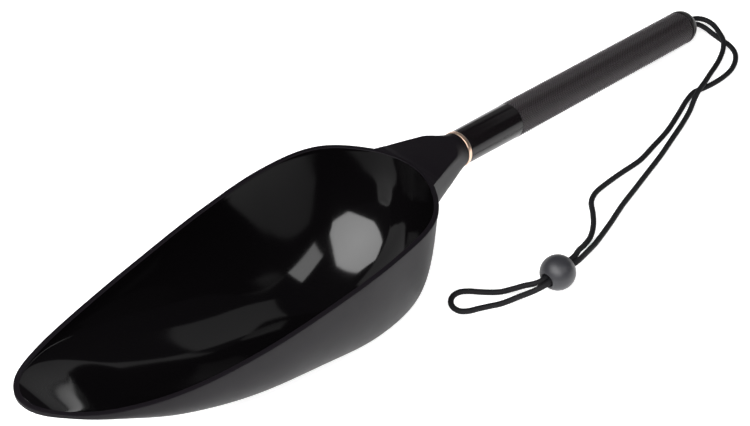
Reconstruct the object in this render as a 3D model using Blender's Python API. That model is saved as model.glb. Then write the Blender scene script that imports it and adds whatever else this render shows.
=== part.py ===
"""Moulded hand scoop with a screw-in aluminium handle and a wrist lanyard.

The bowl, its shoulder and its neck are one moulding. A brass insert in the neck takes the steel
stud of the handle, and a copper collar ring is trapped between the two. The handle is a tube with
a plug at the front and a domed cap at the butt, through which both ends of the lanyard cord run
to a knot inside the tube. A bead slides on the doubled cord.

Three frames are used, all in metres:
  scoop frame   origin at the tip of the rim, +X towards the handle, +Z up out of the bowl
  handle frame  origin at the middle of the collar ring, +Z along the handle towards its butt
  world         the scoop at rest: bowl bottom and butt on the floor at Z = 0
"""
import math

import bmesh
import bpy
from mathutils import Matrix, Vector

GAP = 0.0003                    # clearance left between touching pieces

# --- bowl, scoop frame -------------------------------------------------------------------
BOWL_LENGTH = 0.3088            # tip to back, over the rim
RIM_BAND = 0.0033               # width of the flat rim
EDGE = 0.0022                   # height of the rim's outer edge, and thickness of the tip
WALL = 0.0030                   # thickness of the bowl's floor
SECTION_POWER = 3.0             # roundness of the U section: 2 is an ellipse, more is squarer
BACK_START = 0.2433             # the back wall starts to rise here
BACK_POWER = 4.3                # squareness of the keel's turn up into the back wall
# Offsets at equal steps of angle from the tip round to the back: half width, depth, rim height
HALF_WIDTHS = (0.0, 0.0189, 0.0348, 0.0472, 0.0553, 0.0597, 0.0598, 0.0520, 0.0283, 0.0)
DEPTHS = (0.0022, 0.0030, 0.0110, 0.0315, 0.0540, 0.0730, 0.0905, 0.0940, 0.0940, 0.0940)
RIM_HEIGHTS = (0.0, -0.0016, -0.0071, -0.0105, -0.0088, -0.0036, 0.0010, 0.0021, 0.0006, 0.0)
BOWL_ROWS = 38                  # facets from tip to back
BOWL_SIDES = 26                 # facets across one section
LID = 0.03                      # how far the cavity cutter stands above the rim

# --- shoulder and neck, scoop frame ------------------------------------------------------
RING_CENTRE = (0.3540, -0.0131)  # X and Z of the collar ring
HANDLE_TILT = math.radians(4.07)  # the handle falls by this towards its butt
FLARE_LENGTH = 0.0600           # neck face to the shoulder's front end, inside the bowl
NECK_RUN = 0.30                 # share of that length over which the neck is still round
SPREAD = 0.0165                 # how much wider the shoulder is at its front end than the neck
SPREAD_POWER = 1.15
EDGE_ROUND = 0.0025             # rounding of the flat top's edges, across
SHELF = 0.0030                  # and down
BELLY = 0.0205                  # depth of the shoulder's walls below that rounding
BELLY_DROP = 0.0200             # how much deeper the front end is
WALL_POWER = 1.5                # how much squarer than a circle the walls are
SHOULDER_RISE = 0.0013          # how far the shoulder's top rises to its front end
FLARE_STEPS = 16
FLARE_SIDES = 10                # facets in each quarter of a flare section

# --- handle, handle frame ----------------------------------------------------------------
HANDLE_RADIUS = 0.0119          # plain front at the ring, turned down from one-inch stock
TAPER_RADIUS = 0.0124           # where that front has widened to meet the grip
GRIP_RADIUS = 0.0128            # over the knurling, which raises the stock a little
TUBE_BORE = 0.0105
RING_HALF = 0.0014              # half the collar ring's width
RING_RADIUS = 0.0122
TUBE_END = 0.2590
GRIP_START = 0.0545
GRIP_END = 0.2580
GRIP_RUN_OUT = 0.0020           # length of the slope from the plain front up to the grip
BUTT_END = 0.2685               # crown of the butt cap
SPIGOT_START = 0.2470
CHAMFER = 0.0004                # on the edges of turned pieces
DOME_RISE = 0.0005              # from the cap's shoulder to where its dome starts
SPIGOT_RADIUS = TUBE_BORE - 1.2 * GAP
PLUG_END = 0.0240
STUD_HOLE = 0.0050              # radius of the holes that hold the stud
STUD_CREST = 0.0047             # 3/8 in thread
STUD_ROOT = 0.0040
THREAD_PITCH = 0.00127          # 20 threads per inch
STUD_START = -0.0190
STUD_END = 0.0150
INSERT_RADIUS = 0.0075
INSERT_START = -0.0225
INSERT_END = -0.0022
POCKET_RADIUS = INSERT_RADIUS + 1.3 * GAP
POCKET_DEPTH = 0.0250
ROUND = 40                      # sides of a turned piece
STUD_SIDES = 12
STUD_STEPS = 4                  # rows of facets for each turn of the thread

# --- rest pose ---------------------------------------------------------------------------
REST_TILT = math.radians(7.72)  # the rim falls by this towards the handle
REST_POINT = (-0.3082, 0.1270)  # world X and Z of the tip of the rim
FLOOR_CUT = 0.2                 # size of the block that flattens the bowl's underside
FLOOR_STRETCH = 5.0             # how many times longer than wide that block is

# --- lanyard, world ----------------------------------------------------------------------
CORD_RADIUS = 0.0020
STRAND_SPREAD = 0.00215         # each strand's distance from the cap's axis
CAP_HOLE = 0.0047
CORD_STEP = 0.0112              # spacing of the cord's own points
KNOT_START = 0.2350
KNOT_RADIUS = 0.0072
KNOT_LOBE = 0.58                # radius of each lobe, as a share of half the knot's height
BEAD_RADIUS = 0.0120
BEAD_HOLE = 0.0049
BEAD_CENTRE = (0.0392, -0.0890, 0.0120)
BEAD_HEADING = math.radians(176.0)  # direction from the handle side to the loop side
BEAD_MOUTH = 0.0104             # half the bead's length between its flat mouths
# The free stretches of the lanyard, laid by hand, in order along the cord
STRAND_TO_BEAD = (
    (0.3135, 0.0018, 0.0096), (0.3182, -0.0008, 0.0087), (0.3213, -0.0055, 0.0076),
    (0.3213, -0.0122, 0.0068), (0.3167, -0.0207, 0.0069), (0.3121, -0.0279, 0.0061),
    (0.3062, -0.0325, 0.0040), (0.2995, -0.0354, 0.0024), (0.2893, -0.0386, 0.0022),
    (0.2801, -0.0410, 0.0030), (0.2725, -0.0435, 0.0049), (0.2635, -0.0463, 0.0066),
    (0.2560, -0.0479, 0.0068), (0.2490, -0.0495, 0.0063), (0.2415, -0.0517, 0.0042),
    (0.2340, -0.0543, 0.0024), (0.2190, -0.0585, 0.0021), (0.2010, -0.0626, 0.0021),
    (0.1817, -0.0669, 0.0021), (0.1624, -0.0703, 0.0021), (0.1432, -0.0737, 0.0021),
    (0.1244, -0.0770, 0.0021), (0.1066, -0.0812, 0.0021), (0.0947, -0.0837, 0.0022),
    (0.0827, -0.0863, 0.0033), (0.0737, -0.0884, 0.0060), (0.0645, -0.0908, 0.0096),
)
WRIST_LOOP = (
    (0.0190, -0.0874, 0.0104), (0.0150, -0.0837, 0.0076), (0.0110, -0.0797, 0.0048),
    (0.0062, -0.0763, 0.0028), (0.0004, -0.0732, 0.0021), (-0.0060, -0.0691, 0.0021),
    (-0.0122, -0.0652, 0.0021), (-0.0181, -0.0617, 0.0021), (-0.0219, -0.0575, 0.0021),
    (-0.0224, -0.0522, 0.0021), (-0.0198, -0.0477, 0.0021), (-0.0149, -0.0454, 0.0021),
    (-0.0095, -0.0464, 0.0021), (-0.0050, -0.0503, 0.0021), (-0.0010, -0.0557, 0.0021),
    (0.0035, -0.0616, 0.0022), (0.0080, -0.0671, 0.0030), (0.0132, -0.0727, 0.0056),
    (0.0181, -0.0786, 0.0090), (0.0219, -0.0834, 0.0112),
)
STRAND_TO_CAP = (
    (0.0662, -0.0852, 0.0092), (0.0747, -0.0831, 0.0058), (0.0860, -0.0798, 0.0031),
    (0.0968, -0.0738, 0.0021), (0.1054, -0.0666, 0.0021), (0.1135, -0.0589, 0.0021),
    (0.1223, -0.0556, 0.0021), (0.1350, -0.0556, 0.0021), (0.1507, -0.0569, 0.0021),
    (0.1687, -0.0588, 0.0021), (0.1858, -0.0572, 0.0021), (0.2053, -0.0550, 0.0021),
    (0.2233, -0.0508, 0.0021), (0.2430, -0.0456, 0.0021), (0.2528, -0.0445, 0.0021),
    (0.2599, -0.0467, 0.0021), (0.2694, -0.0492, 0.0021), (0.2814, -0.0507, 0.0021),
    (0.2929, -0.0499, 0.0021), (0.3034, -0.0458, 0.0021), (0.3099, -0.0404, 0.0021),
    (0.3141, -0.0324, 0.0021), (0.3153, -0.0243, 0.0021), (0.3162, -0.0158, 0.0031),
    (0.3155, -0.0092, 0.0056), (0.3118, -0.0042, 0.0088),
)


def clear_scene():
    for old in list(bpy.data.objects):
        bpy.data.objects.remove(old, do_unlink=True)


def material(name, colour, roughness, metallic):
    made = bpy.data.materials.new(name)
    made.use_nodes = True
    shader = made.node_tree.nodes["Principled BSDF"]
    shader.inputs["Base Color"].default_value = (*colour, 1.0)
    shader.inputs["Roughness"].default_value = roughness
    shader.inputs["Metallic"].default_value = metallic
    return made


def add_object(name, mesh_builder, finish, parent=None):
    """Turn a bmesh into a named object with its normals out and its round faces smooth."""
    bmesh.ops.recalc_face_normals(mesh_builder, faces=mesh_builder.faces)
    mesh = bpy.data.meshes.new(name)
    mesh_builder.to_mesh(mesh)
    mesh_builder.free()
    mesh.shade_smooth()
    mesh.set_sharp_from_angle(angle=math.radians(35))
    made = bpy.data.objects.new(name, mesh)
    bpy.context.scene.collection.objects.link(made)
    if finish:
        mesh.materials.append(finish)
    made.parent = parent
    return made


def add_empty(name, matrix, parent=None):
    empty = bpy.data.objects.new(name, None)
    bpy.context.scene.collection.objects.link(empty)
    empty.parent = parent
    empty.matrix_local = matrix
    return empty


def make_cutter(cutter, targets, operation="DIFFERENCE"):
    cutter.hide_render = True
    cutter.display_type = "WIRE"
    for target in targets:
        boolean = target.modifiers.new(cutter.name, "BOOLEAN")
        boolean.operation = operation
        boolean.object = cutter
        boolean.solver = "EXACT"


def read_smooth(values, step):
    """Read a table of equally spaced values at a fractional step, on a smooth curve."""
    last = len(values) - 1
    low = min(int(step), last - 1)
    part = step - low
    before = values[low - 1] if low else 2 * values[0] - values[1]
    after = values[low + 2] if low + 2 <= last else 2 * values[last] - values[last - 1]
    start, end = values[low], values[low + 1]
    start_slope, end_slope = (end - before) / 2, (after - start) / 2
    return (start * (1 + 2 * part) * (1 - part) ** 2 + start_slope * part * (1 - part) ** 2
            + end * part ** 2 * (3 - 2 * part) + end_slope * part ** 2 * (part - 1))


def grid_faces(builder, rows, closed=False):
    """Join equal rows of vertices into quads."""
    for low, high in zip(rows, rows[1:]):
        pairs = list(zip(low, low[1:] + low[:1])) if closed else list(zip(low, low[1:]))
        uppers = list(zip(high, high[1:] + high[:1])) if closed else list(zip(high, high[1:]))
        for (a, b), (d, c) in zip(pairs, uppers):
            corners = [v for i, v in enumerate((a, b, c, d)) if v not in (a, b, c, d)[:i]]
            if len(corners) > 2:
                builder.faces.new(corners)


# --- bowl --------------------------------------------------------------------------------
def rim_outline(angle):
    """X and half width of the rim's outer edge, angle 0 at the tip and pi at the back."""
    along = BOWL_LENGTH / 2 * (1 - math.cos(angle))
    return along, read_smooth(HALF_WIDTHS, angle / math.pi * (len(HALF_WIDTHS) - 1))


def inner_outline(angle):
    """The outer outline moved in by the rim's width, square to the edge."""
    if angle <= 0.0:
        return RIM_BAND, 0.0
    if angle >= math.pi:
        return BOWL_LENGTH - RIM_BAND, 0.0
    small = 0.002
    ahead, behind = rim_outline(angle + small), rim_outline(angle - small)
    tangent = Vector((ahead[0] - behind[0], ahead[1] - behind[1])).normalized()
    along, half = rim_outline(angle)
    return along + RIM_BAND * tangent.y, max(half - RIM_BAND * tangent.x, 0.0)


def rim_height(angle):
    return read_smooth(RIM_HEIGHTS, angle / math.pi * (len(RIM_HEIGHTS) - 1))


def depth(angle, along, back):
    """Depth of the outer skin below the rim; the back wall rises to the rim at X = back."""
    keel = read_smooth(DEPTHS, angle / math.pi * (len(DEPTHS) - 1))
    run = (along - BACK_START) / (back - BACK_START)
    if run <= 0.0:
        return keel
    return EDGE + (keel - EDGE) * max(1 - run ** BACK_POWER, 0.0) ** (1 / BACK_POWER)


def section_point(turn):
    """Unit U section: across and down at a turn from 0 (one side) to pi (the other)."""
    across, down = math.cos(turn), math.sin(turn)
    reach = (abs(across) ** SECTION_POWER + down ** SECTION_POWER) ** (-1 / SECTION_POWER)
    return reach * across, reach * down


def skin_row(builder, along, half, top, edge, floor):
    """One U section from rim to rim, and its vertices, with a straight edge at both ends."""
    row = [builder.verts.new((along, half, top))]
    for side in range(BOWL_SIDES + 1):
        across, down = section_point(math.pi * side / BOWL_SIDES)
        row.append(builder.verts.new((along, half * across, top - edge - (floor - edge) * down)))
    row.append(builder.verts.new((along, -half, top)))
    return row


def outer_skin():
    """The bowl as a solid block: outer skin below, rim level above."""
    builder = bmesh.new()
    rows = []
    for row in range(1, BOWL_ROWS):
        angle = math.pi * row / BOWL_ROWS
        along, half = rim_outline(angle)
        floor = depth(angle, along, BOWL_LENGTH)
        rows.append(skin_row(builder, along, half, rim_height(angle), EDGE, floor))
    close_ends(builder, rows, (0.0, BOWL_LENGTH), EDGE)
    grid_faces(builder, rows)
    for low, high in zip(rows, rows[1:]):
        builder.faces.new((low[0], high[0], high[-1], low[-1]))
    return builder


def cavity():
    """The hollow as a solid block that stands well above the rim."""
    builder = bmesh.new()
    rows = []
    for row in range(1, BOWL_ROWS):
        angle = math.pi * row / BOWL_ROWS
        along, half = inner_outline(angle)
        wall = EDGE + (WALL - EDGE) * math.sin(angle)
        floor = max(depth(angle, along + RIM_BAND / 2, BOWL_LENGTH - RIM_BAND / 2) - wall, 0.0)
        top = rim_height(angle)
        row_verts = skin_row(builder, along, half, top + LID, LID, LID + floor)
        rows.append(row_verts)
    close_ends(builder, rows, (RIM_BAND, BOWL_LENGTH - RIM_BAND), LID, LID)
    grid_faces(builder, rows)
    for low, high in zip(rows, rows[1:]):
        builder.faces.new((low[0], high[0], high[-1], low[-1]))
    return builder


def close_ends(builder, rows, ends, edge, lift=0.0):
    """Close the first and last sections onto short upright edges at the tip and the back."""
    for row, along in ((rows[0], ends[0]), (rows[-1], ends[1])):
        high = builder.verts.new((along, 0.0, lift))
        low = builder.verts.new((along, 0.0, lift - edge))
        builder.faces.new((high, row[0], row[-1]))
        builder.faces.new((high, low, row[1], row[0]))
        builder.faces.new((low, high, row[-1], row[-2]))
        for first, second in zip(row[1:-2], row[2:-1]):
            builder.faces.new((low, first, second))


# --- shoulder and neck -------------------------------------------------------------------
def flare_section(run):
    """Sizes of the flare at a run from 0 (neck face) to 1 (inside the bowl)."""
    share = min(run / NECK_RUN, 1.0)
    ease = share * share * (3 - 2 * share)
    half = HANDLE_RADIUS + SPREAD * run ** SPREAD_POWER
    web = (half - EDGE_ROUND) * ease
    shelf = HANDLE_RADIUS + (SHELF - HANDLE_RADIUS) * ease
    belly = HANDLE_RADIUS + (BELLY - HANDLE_RADIUS) * ease + BELLY_DROP * run
    power = 2.0 + WALL_POWER * ease
    top = RING_CENTRE[1] + HANDLE_RADIUS + SHOULDER_RISE * run ** 3
    return web, half, shelf, belly, power, top


def neck_flare():
    """Loft from the round neck to the flat-topped shoulder that runs into the bowl's back."""
    builder = bmesh.new()
    neck_face = RING_CENTRE[0] - RING_HALF - GAP
    rows = []
    for step in range(FLARE_STEPS + 1):
        run = step / FLARE_STEPS
        web, half, shelf, belly, power, top = flare_section(run)
        along = neck_face - FLARE_LENGTH * run
        quarter = []
        for side in range(FLARE_SIDES):
            turn = math.pi / 2 * (1 - side / FLARE_SIDES)
            quarter.append((web + (half - web) * math.cos(turn), top - shelf * (1 - math.sin(turn))))
        for side in range(FLARE_SIDES + 1):
            turn = math.pi / 2 * side / FLARE_SIDES
            across, down = math.cos(turn) ** (2 / power), math.sin(turn) ** (2 / power)
            quarter.append((half * across, top - shelf - belly * down))
        loop = quarter + [(-y, z) for y, z in reversed(quarter[:-1])]
        lean = math.tan(HANDLE_TILT) * (1 - run)
        rows.append([builder.verts.new((along + lean * (z - RING_CENTRE[1]), y, z))
                     for y, z in loop])
    grid_faces(builder, rows, closed=True)
    builder.faces.new(rows[0])
    builder.faces.new(list(reversed(rows[-1])))
    bmesh.ops.remove_doubles(builder, verts=builder.verts, dist=0.00001)
    return builder


def add_bowl(finish, scoop_frame, handle_frame):
    bowl = add_object("scoop_bowl", outer_skin(), finish, scoop_frame)
    flare = add_object("flare_tool", neck_flare(), None, scoop_frame)
    make_cutter(flare, [bowl], "UNION")
    make_cutter(add_object("cavity_tool", cavity(), None, scoop_frame), [bowl])
    pocket = turned([(0.0, -POCKET_DEPTH), (POCKET_RADIUS, -POCKET_DEPTH), (POCKET_RADIUS, 0.0),
                     (0.0, 0.0)])
    make_cutter(add_object("pocket_tool", pocket, None, handle_frame), [bowl])
    block = bmesh.new()
    size = (Matrix.Translation((0.0, 0.0, -FLOOR_CUT / 2))
            @ Matrix.Diagonal((FLOOR_STRETCH, 1.0, 1.0, 1.0)))
    bmesh.ops.create_cube(block, size=FLOOR_CUT, matrix=size)
    make_cutter(add_object("floor_tool", block, None), [bowl])


# --- turned pieces -----------------------------------------------------------------------
def turned(profile, sides=ROUND):
    """Spin an outline of (radius, height) pairs about Z into a closed solid.

    An outline that starts and ends on the axis is closed by it; any other is a ring.
    """
    builder = bmesh.new()
    on_axis = profile[0][0] == 0.0
    if on_axis:
        poles = [builder.verts.new((0.0, 0.0, profile[i][1])) for i in (0, -1)]
        profile = profile[1:-1]
    rows = []
    for side in range(sides):
        turn = 2 * math.pi * side / sides
        rows.append([builder.verts.new((radius * math.cos(turn), radius * math.sin(turn), height))
                     for radius, height in profile])
    for low, high in zip(rows, rows[1:] + rows[:1]):
        count = len(profile)
        for i in range(count - 1 if on_axis else count):
            j = (i + 1) % count
            builder.faces.new((low[i], low[j], high[j], high[i]))
        if on_axis:
            builder.faces.new((poles[0], low[0], high[0]))
            builder.faces.new((low[-1], poles[1], high[-1]))
    return builder


def arc(centre, radii, start, end, steps):
    """Points of an ellipse's arc, angles in degrees, as (radius, height) pairs."""
    points = []
    for step in range(steps + 1):
        angle = math.radians(start + (end - start) * step / steps)
        points.append((centre[0] + radii[0] * math.cos(angle),
                       centre[1] + radii[1] * math.sin(angle)))
    return points


def sleeve(bore, radius, start, end, chamfer=CHAMFER):
    """Outline of a plain bushing with a small chamfer on its outer edges."""
    return [(bore, start), (radius - chamfer, start), (radius, start + chamfer),
            (radius, end - chamfer), (radius - chamfer, end), (bore, end)]


def threaded_rod():
    """A rod with a real helical thread that fades out at both ends."""
    builder = bmesh.new()
    count = round((STUD_END - STUD_START) / THREAD_PITCH * STUD_STEPS)
    fade = 2 * THREAD_PITCH
    rows = []
    for level in range(count + 1):
        height = STUD_START + (STUD_END - STUD_START) * level / count
        ease = min(1.0, (height - STUD_START) / fade, (STUD_END - height) / fade)
        row = []
        for side in range(STUD_SIDES):
            phase = (height / THREAD_PITCH - side / STUD_SIDES) % 1.0
            radius = STUD_ROOT + (STUD_CREST - STUD_ROOT) * ease * (1 - abs(2 * phase - 1))
            turn = 2 * math.pi * side / STUD_SIDES
            row.append(builder.verts.new((radius * math.cos(turn), radius * math.sin(turn), height)))
        rows.append(row)
    grid_faces(builder, rows, closed=True)
    builder.faces.new(rows[0])
    builder.faces.new(list(reversed(rows[-1])))
    return builder


def add_handle(finishes, frame):
    add_object("threaded_insert", turned(sleeve(STUD_HOLE, INSERT_RADIUS, INSERT_START, INSERT_END)),
               finishes["brass"], frame)
    add_object("collar_ring", turned(sleeve(STUD_HOLE, RING_RADIUS, -RING_HALF, RING_HALF)),
               finishes["copper"], frame)
    add_object("threaded_stud", threaded_rod(), finishes["steel"], frame)
    plug = [(STUD_HOLE, RING_HALF + 2 * GAP), (SPIGOT_RADIUS, RING_HALF + 2 * GAP),
            (SPIGOT_RADIUS, PLUG_END), (STUD_HOLE, PLUG_END)]
    add_object("front_plug", turned(plug), finishes["steel"], frame)
    front = RING_HALF + GAP
    tube = [(TUBE_BORE, front), (HANDLE_RADIUS - CHAMFER, front),
            (HANDLE_RADIUS, front + CHAMFER), (TAPER_RADIUS, GRIP_START - GRIP_RUN_OUT),
            (GRIP_RADIUS, GRIP_START), (GRIP_RADIUS, GRIP_END),
            (GRIP_RADIUS - CHAMFER, TUBE_END), (TUBE_BORE, TUBE_END)]
    add_object("handle_tube", turned(tube), finishes["anodised"], frame)
    shoulder = TUBE_END + GAP
    dome_start = shoulder + DOME_RISE
    dome = arc((CAP_HOLE + CHAMFER, dome_start),
               (GRIP_RADIUS - CAP_HOLE - CHAMFER, BUTT_END - dome_start), 0, 90, 8)
    cap = [(CAP_HOLE, SPIGOT_START), (SPIGOT_RADIUS, SPIGOT_START), (SPIGOT_RADIUS, shoulder),
           (GRIP_RADIUS - CHAMFER, shoulder)] + dome + [(CAP_HOLE, BUTT_END - CHAMFER)]
    add_object("butt_cap", turned(cap), finishes["anodised"], frame)


# --- lanyard -----------------------------------------------------------------------------
def strand_in_cap(handle_matrix, side, height):
    """World position of a strand where it runs straight inside the cap."""
    return handle_matrix @ Vector((0.0, side * STRAND_SPREAD, height))


def strand_in_bead(side, run):
    """World position of a strand beside the bead's axis; run grows towards the loop."""
    heading = Vector((math.cos(BEAD_HEADING), math.sin(BEAD_HEADING), 0.0))
    across = Vector((-heading.y, heading.x, 0.0))
    return Vector(BEAD_CENTRE) + heading * run + across * side * STRAND_SPREAD


def cord_route(handle_matrix):
    """Route points from one end in the cap, through the bead, round the loop and back."""
    in_cap = (SPIGOT_START, TUBE_END, BUTT_END)
    beside_bead = (-0.0180, -0.0060, 0.0060, 0.0125)
    route = [strand_in_cap(handle_matrix, 1, height) for height in in_cap]
    route += [Vector(point) for point in STRAND_TO_BEAD]
    route += [strand_in_bead(1, run) for run in beside_bead]
    route += [Vector(point) for point in WRIST_LOOP]
    route += [strand_in_bead(-1, run) for run in reversed(beside_bead)]
    route += [Vector(point) for point in STRAND_TO_CAP]
    route += [strand_in_cap(handle_matrix, -1, height) for height in reversed(in_cap)]
    return route


def smooth_curve(route, steps=12):
    """Dense points on a centripetal curve through the route."""
    ends = [2 * route[0] - route[1], *route, 2 * route[-1] - route[-2]]
    dense = []
    for before, start, end, after in zip(ends, ends[1:], ends[2:], ends[3:]):
        first = (start - before).length ** 0.5
        middle = (end - start).length ** 0.5
        last = (after - end).length ** 0.5
        start_slope = ((start - before) / first - (end - before) / (first + middle)
                       + (end - start) / middle) * middle
        end_slope = ((end - start) / middle - (after - start) / (middle + last)
                     + (after - end) / last) * middle
        for step in range(steps):
            t = step / steps
            dense.append(start * (1 + 2 * t) * (1 - t) ** 2 + start_slope * t * (1 - t) ** 2
                         + end * t * t * (3 - 2 * t) + end_slope * t * t * (t - 1))
    return dense + [route[-1]]


def even_points(dense, spacing):
    """Points at equal distances along a dense line, both ends included."""
    reach = [0.0]
    for start, end in zip(dense, dense[1:]):
        reach.append(reach[-1] + (end - start).length)
    count = round(reach[-1] / spacing)
    points, place = [], 0
    for index in range(count):
        want = reach[-1] * index / count
        while reach[place + 1] < want:
            place += 1
        part = (want - reach[place]) / (reach[place + 1] - reach[place])
        points.append(dense[place].lerp(dense[place + 1], part))
    return points + [dense[-1]]


def add_cord(finish, handle_frame, handle_matrix):
    points = even_points(smooth_curve(cord_route(handle_matrix)), CORD_STEP)
    curve = bpy.data.curves.new("lanyard_cord", "CURVE")
    curve.dimensions = "3D"
    curve.bevel_depth = CORD_RADIUS
    curve.bevel_resolution = 2
    curve.use_fill_caps = True
    spline = curve.splines.new("POLY")
    spline.points.add(len(points) - 1)
    for spline_point, place in zip(spline.points, points):
        spline_point.co = (*place, 1.0)
    curve.materials.append(finish)
    cord = bpy.data.objects.new("lanyard_cord", curve)
    bpy.context.scene.collection.objects.link(cord)
    cord.parent = handle_frame
    cord.matrix_parent_inverse = handle_matrix.inverted()


def add_knot(finish, handle_frame):
    """The stopper knot inside the tube: a pinched ball with a flat face towards the cap."""
    face = SPIGOT_START - GAP
    middle, half = (KNOT_START + face) / 2, (face - KNOT_START) / 2
    lobe = half * KNOT_LOBE
    outline = [(0.0, KNOT_START)]
    outline += arc((KNOT_RADIUS - lobe, middle - half + lobe), (lobe, lobe), -90, 50, 5)
    outline += arc((KNOT_RADIUS - lobe, middle + half - lobe), (lobe, lobe), -50, 90, 5)
    outline += [(0.0, face)]
    add_object("lanyard_knot", turned(outline, 24), finish, handle_frame)


def add_bead(finish, handle_frame, handle_matrix):
    """A ball with a bore and flat mouths, its own empty on the cord's axis."""
    turn = Matrix.Rotation(BEAD_HEADING, 4, "Z") @ Matrix.Rotation(math.pi / 2, 4, "Y")
    world = Matrix.Translation(BEAD_CENTRE) @ turn
    bead_frame = add_empty("bead_frame", handle_matrix.inverted() @ world, handle_frame)
    reach = math.degrees(math.asin(BEAD_MOUTH / BEAD_RADIUS))
    outline = [(BEAD_HOLE, -BEAD_MOUTH)]
    outline += arc((0.0, 0.0), (BEAD_RADIUS, BEAD_RADIUS), -reach, reach, 14)
    outline += [(BEAD_HOLE, BEAD_MOUTH)]
    add_object("cord_bead", turned(outline, 32), finish, bead_frame)


def add_empty_frames():
    scoop = Matrix.Translation((REST_POINT[0], 0.0, REST_POINT[1])) @ Matrix.Rotation(REST_TILT, 4, "Y")
    scoop_frame = add_empty("scoop_frame", scoop)
    ring = Matrix.Translation((RING_CENTRE[0], 0.0, RING_CENTRE[1]))
    turn = Matrix.Rotation(math.pi / 2 + HANDLE_TILT, 4, "Y")
    handle_frame = add_empty("handle_frame", ring @ turn, scoop_frame)
    return scoop_frame, handle_frame, scoop @ ring @ turn


def main():
    clear_scene()
    finishes = {
        "plastic": material("moulded_black_plastic", (0.022, 0.021, 0.023), 0.35, 0.0),
        "copper": material("copper", (0.80, 0.46, 0.33), 0.2, 1.0),
        "brass": material("brass", (0.72, 0.53, 0.25), 0.3, 1.0),
        "steel": material("steel", (0.56, 0.56, 0.58), 0.35, 1.0),
        "anodised": material("black_anodised_aluminium", (0.014, 0.012, 0.013), 0.35, 0.4),
        "cord": material("braided_cord", (0.012, 0.012, 0.013), 0.8, 0.0),
        "bead": material("bead_plastic", (0.030, 0.030, 0.033), 0.5, 0.0),
    }
    scoop_frame, handle_frame, handle_matrix = add_empty_frames()
    add_bowl(finishes["plastic"], scoop_frame, handle_frame)
    add_handle(finishes, handle_frame)
    add_cord(finishes["cord"], handle_frame, handle_matrix)
    add_knot(finishes["cord"], handle_frame)
    add_bead(finishes["bead"], handle_frame, handle_matrix)


main()
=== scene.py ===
"""Visual model of a moulded hand scoop with a screw-in knurled handle and a wrist lanyard.

Each sub-assembly is a class that holds its sizes in metres, builds its meshes and dresses them.
Three frames are used:
  scoop frame   origin at the tip of the rim, +X towards the handle, +Z up out of the bowl
  handle frame  origin at the middle of the collar ring, +Z along the handle towards its butt
  world         the scoop at rest: bowl bottom and butt on the floor at Z = 0
"""

import logging
import math
from collections.abc import Callable, Iterator
from contextlib import contextmanager
from dataclasses import dataclass
from enum import Enum

import bmesh
import bpy
import numpy as np
from mathutils import Matrix, Vector


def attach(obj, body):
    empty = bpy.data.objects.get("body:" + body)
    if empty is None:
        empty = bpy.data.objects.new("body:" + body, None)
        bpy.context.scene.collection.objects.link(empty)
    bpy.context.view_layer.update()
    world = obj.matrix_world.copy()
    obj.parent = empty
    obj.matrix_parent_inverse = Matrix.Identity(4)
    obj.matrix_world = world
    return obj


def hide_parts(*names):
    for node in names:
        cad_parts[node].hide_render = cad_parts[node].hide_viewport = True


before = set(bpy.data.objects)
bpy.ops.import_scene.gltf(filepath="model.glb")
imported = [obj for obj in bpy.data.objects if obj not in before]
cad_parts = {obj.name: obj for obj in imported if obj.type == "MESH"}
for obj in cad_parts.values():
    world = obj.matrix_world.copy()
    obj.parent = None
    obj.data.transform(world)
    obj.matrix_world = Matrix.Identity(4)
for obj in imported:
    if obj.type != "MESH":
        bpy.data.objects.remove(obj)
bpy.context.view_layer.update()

log = logging.getLogger("hand_scoop")

MM = 0.001
GAP = 0.3 * MM                  # clearance left between touching pieces

# --- rest pose: how the scoop and its handle lie on the floor --------------------------------
REST_TILT = math.radians(7.72)  # the rim falls by this towards the handle
REST_POINT = (-0.3082, 0.0, 0.1270)  # tip of the rim
RING_CENTRE = (0.3540, 0.0, -0.0131)  # collar ring, in the scoop frame
HANDLE_TILT = math.radians(4.07)  # the handle falls by this towards its butt
NECK_RADIUS = 11.9 * MM         # the neck and the plain front of the handle
RING_HALF = 1.4 * MM            # half the collar ring's width
STUD_HOLE = 5.0 * MM            # radius of the hole that the stud passes through
SCOOP_FRAME = Matrix.Translation(REST_POINT) @ Matrix.Rotation(REST_TILT, 4, "Y")
HANDLE_FRAME = (SCOOP_FRAME @ Matrix.Translation(RING_CENTRE)
                @ Matrix.Rotation(math.pi / 2 + HANDLE_TILT, 4, "Y"))
HANDLE_AXES = {"vector_type": "TEXTURE", "Location": HANDLE_FRAME.translation,
               "Rotation": HANDLE_FRAME.to_euler()}  # a Mapping node into the handle frame


class Body(Enum):
    """The moving bodies that pieces ride on."""

    SCOOP = "scoop"
    COLLAR = "collar"
    HANDLE = "handle"
    BEAD = "bead"


class Slot(Enum):
    """The finish slots of the part."""

    BOWL = "bowl_plastic"
    INSERT = "insert_brass"
    RING = "ring_copper"
    STUD = "stud_steel"
    PLUG = "plug_aluminium"
    TUBE = "handle_anodised"
    CAP = "cap_anodised"
    CORD = "cord_braid"
    BEAD = "bead_plastic"


# --- modelling helpers -----------------------------------------------------------------------
def select_only(piece: bpy.types.Object | None) -> None:
    """Deselect everything, then select one piece and make it the active one.

    Args:
        piece: The piece to select, or None to leave nothing selected.
    """
    if bpy.context.object and bpy.context.object.mode != "OBJECT":
        bpy.ops.object.mode_set(mode="OBJECT")
    bpy.ops.object.select_all(action="DESELECT")
    if piece:
        piece.select_set(True)
        bpy.context.view_layer.objects.active = piece


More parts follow.
